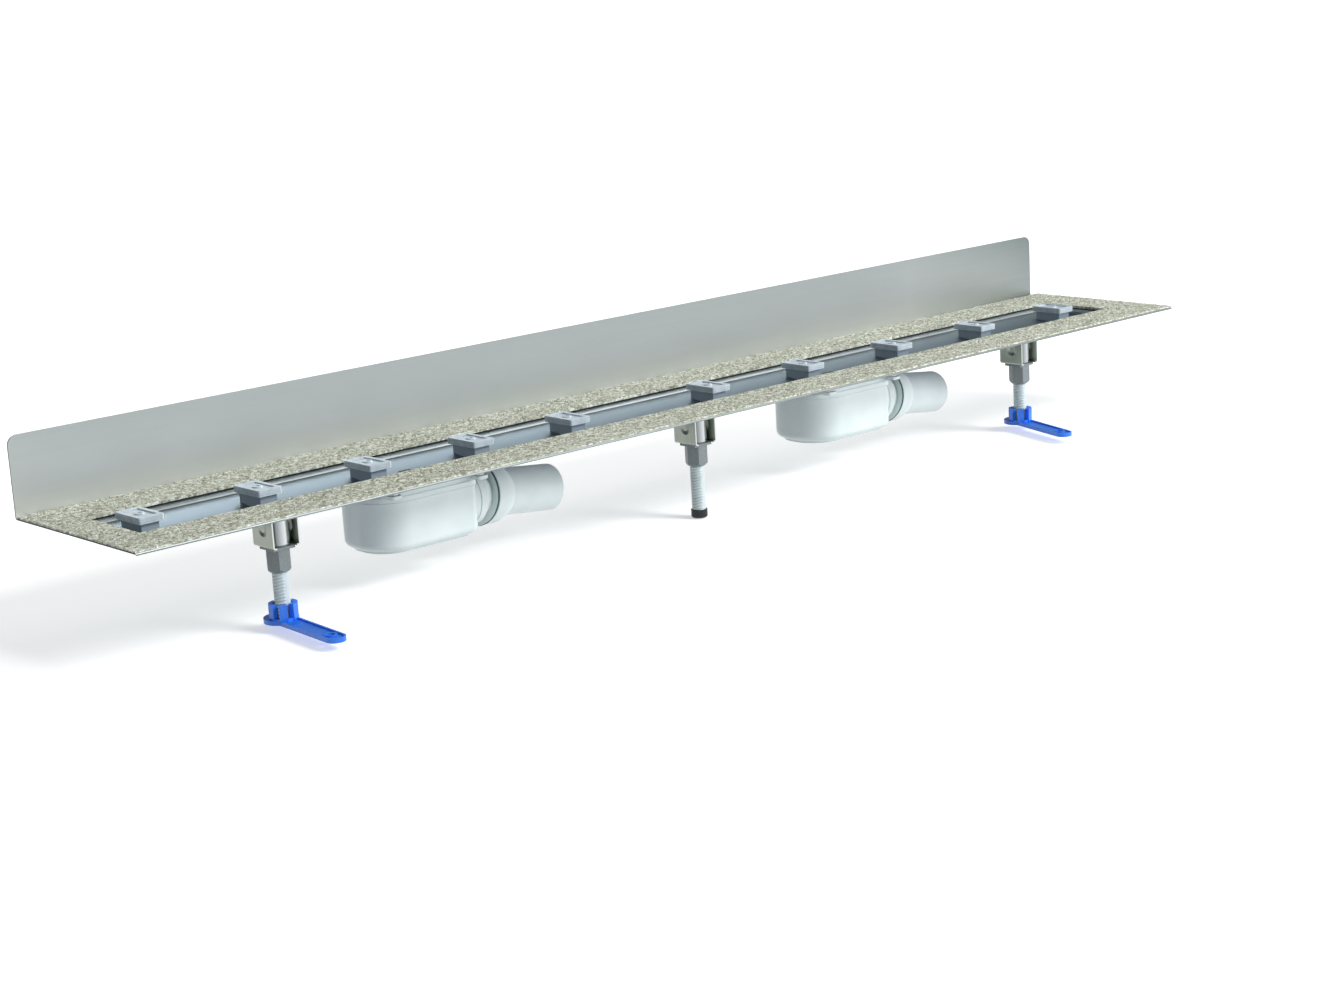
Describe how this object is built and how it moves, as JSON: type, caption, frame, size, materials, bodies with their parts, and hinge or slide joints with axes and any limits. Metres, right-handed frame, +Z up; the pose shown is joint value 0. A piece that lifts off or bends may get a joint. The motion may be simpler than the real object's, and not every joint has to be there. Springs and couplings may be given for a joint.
{
  "type": "channel drain",
  "caption": "Wall-side shower channel with sanded flange and upstand, slot with cover clips, screw-jack feet and side traps whose outlets swing on ball joints.",
  "frame": {"origin": "at mid length on the back face of the upstand, level with the top of the sand coating", "axes": "+X along the channel towards the outlets' ends, +Y towards the wall, +Z up"},
  "size_m": [1.5, 0.2858, 0.197],
  "materials": {
    "steel": "stainless sheet, lightly brushed along its length",
    "sand": "quartz sand bonded with resin, matt and gritty",
    "clip": "blue-grey moulded plastic, satin",
    "polished": "stainless sheet plates, ground along their length",
    "plated": "bright zinc-plated steel",
    "bracket": "folded stainless sheet, bright cut edges",
    "sleeve": "mid-grey moulded plastic, satin",
    "spindle": "off-white moulded plastic, satin",
    "rubber_cap": "black rubber",
    "foot": "strong blue moulded plastic, satin",
    "trap": "white moulded plastic with a cool tint, satin",
    "cup": "white moulded plastic, satin",
    "outlet_pipe": "white moulded pipe, glossy",
    "seal": "dark grey-green rubber"
  },
  "bodies": {
    "channel": {"channel_body": "steel", "sand_coating": "sand", "trough_front": "polished", "trough_back": "polished", "trough_end_left": "polished", "trough_end_right": "polished", "trough_floor_left": "polished", "trough_floor_middle": "polished", "trough_floor_right": "polished", "inlet_plate_left": "polished", "inlet_plate_right": "polished", "cover_clip_1": "clip", "cover_clip_2": "clip", "cover_clip_3": "clip", "cover_clip_4": "clip", "cover_clip_5": "clip", "cover_clip_6": "clip", "cover_clip_7": "clip", "cover_clip_8": "clip", "cover_clip_9": "clip", "cover_clip_10": "clip", "lid_standoffs": "plated", "lid_screws": "plated", "inlet_collar_left": "steel", "trap_body_left": "trap", "trap_lid_left": "trap", "inlet_seal_left": "seal", "trap_cup_left": "cup", "inlet_collar_right": "steel", "trap_body_right": "trap", "trap_lid_right": "trap", "inlet_seal_right": "seal", "trap_cup_right": "cup", "foot_bracket_left": "bracket", "foot_bracket_middle": "bracket", "foot_bracket_right": "bracket"},
    "nut_left": {"levelling_nut_left": "sleeve"},
    "spindle_left": {"threaded_rod_left": "spindle"},
    "nut_middle": {"levelling_nut_middle": "sleeve"},
    "spindle_middle": {"threaded_rod_middle": "spindle", "rod_cap": "rubber_cap"},
    "nut_right": {"levelling_nut_right": "sleeve"},
    "spindle_right": {"threaded_rod_right": "spindle"},
    "foot_left": {"floor_foot_left": "foot"},
    "foot_right": {"floor_foot_right": "foot"},
    "outlet_collar_left": {"outlet_ring_left": "trap"},
    "outlet_pipe_left": {"outlet_spigot_left": "outlet_pipe", "outlet_gasket_left": "seal"},
    "outlet_collar_right": {"outlet_ring_right": "trap"},
    "outlet_pipe_right": {"outlet_spigot_right": "outlet_pipe", "outlet_gasket_right": "seal"}
  },
  "joints": [
    {"name": "nut_turn_left", "type": "hinge", "parent": "channel", "child": "nut_left", "pos_m": [-0.58, -0.183, -0.045], "axis": [0, 0, 1], "range_deg": [-1800, 2880]},
    {"name": "spindle_slide_left", "type": "slide", "parent": "channel", "child": "spindle_left", "axis": [0, 0, -1], "range_m": [-0.016, 0.0256]},
    {"name": "nut_turn_middle", "type": "hinge", "parent": "channel", "child": "nut_middle", "pos_m": [-0.043, -0.183, -0.045], "axis": [0, 0, 1], "range_deg": [-1800, 2880]},
    {"name": "spindle_slide_middle", "type": "slide", "parent": "channel", "child": "spindle_middle", "axis": [0, 0, -1], "range_m": [-0.016, 0.0256]},
    {"name": "nut_turn_right", "type": "hinge", "parent": "channel", "child": "nut_right", "pos_m": [0.496, -0.183, -0.045], "axis": [0, 0, 1], "range_deg": [-1800, 2880]},
    {"name": "spindle_slide_right", "type": "slide", "parent": "channel", "child": "spindle_right", "axis": [0, 0, -1], "range_m": [-0.016, 0.0256]},
    {"name": "foot_swivel_left", "type": "hinge", "parent": "spindle_left", "child": "foot_left", "pos_m": [-0.58, -0.183, -0.105], "axis": [0, 0, 1], "continuous": true},
    {"name": "foot_swivel_right", "type": "hinge", "parent": "spindle_right", "child": "foot_right", "pos_m": [0.496, -0.183, -0.105], "axis": [0, 0, 1], "continuous": true},
    {"name": "outlet_swivel_left", "type": "hinge", "parent": "channel", "child": "outlet_collar_left", "pos_m": [-0.3084, -0.12, -0.0505], "axis": [1, 0, 0], "range_deg": [-140, 55]},
    {"name": "outlet_tilt_left", "type": "hinge", "parent": "outlet_collar_left", "child": "outlet_pipe_left", "pos_m": [-0.3084, -0.12, -0.0505], "axis": [0, 0.7133, 0.7009], "range_deg": [-11.3, 2.5]},
    {"name": "outlet_swivel_right", "type": "hinge", "parent": "channel", "child": "outlet_collar_right", "pos_m": [0.3032, -0.12, -0.0505], "axis": [1, 0, 0], "range_deg": [-140, 55]},
    {"name": "outlet_tilt_right", "type": "hinge", "parent": "outlet_collar_right", "child": "outlet_pipe_right", "pos_m": [0.3032, -0.12, -0.0505], "axis": [0, 0.7133, 0.7009], "range_deg": [-11.3, 2.5]}
  ],
  "couplings": [
    {"joint": "nut_turn_left", "follows": "spindle_slide_left", "rad_per_m": 1963.5},
    {"joint": "nut_turn_middle", "follows": "spindle_slide_middle", "rad_per_m": 1963.5},
    {"joint": "nut_turn_right", "follows": "spindle_slide_right", "rad_per_m": 1963.5}
  ]
}
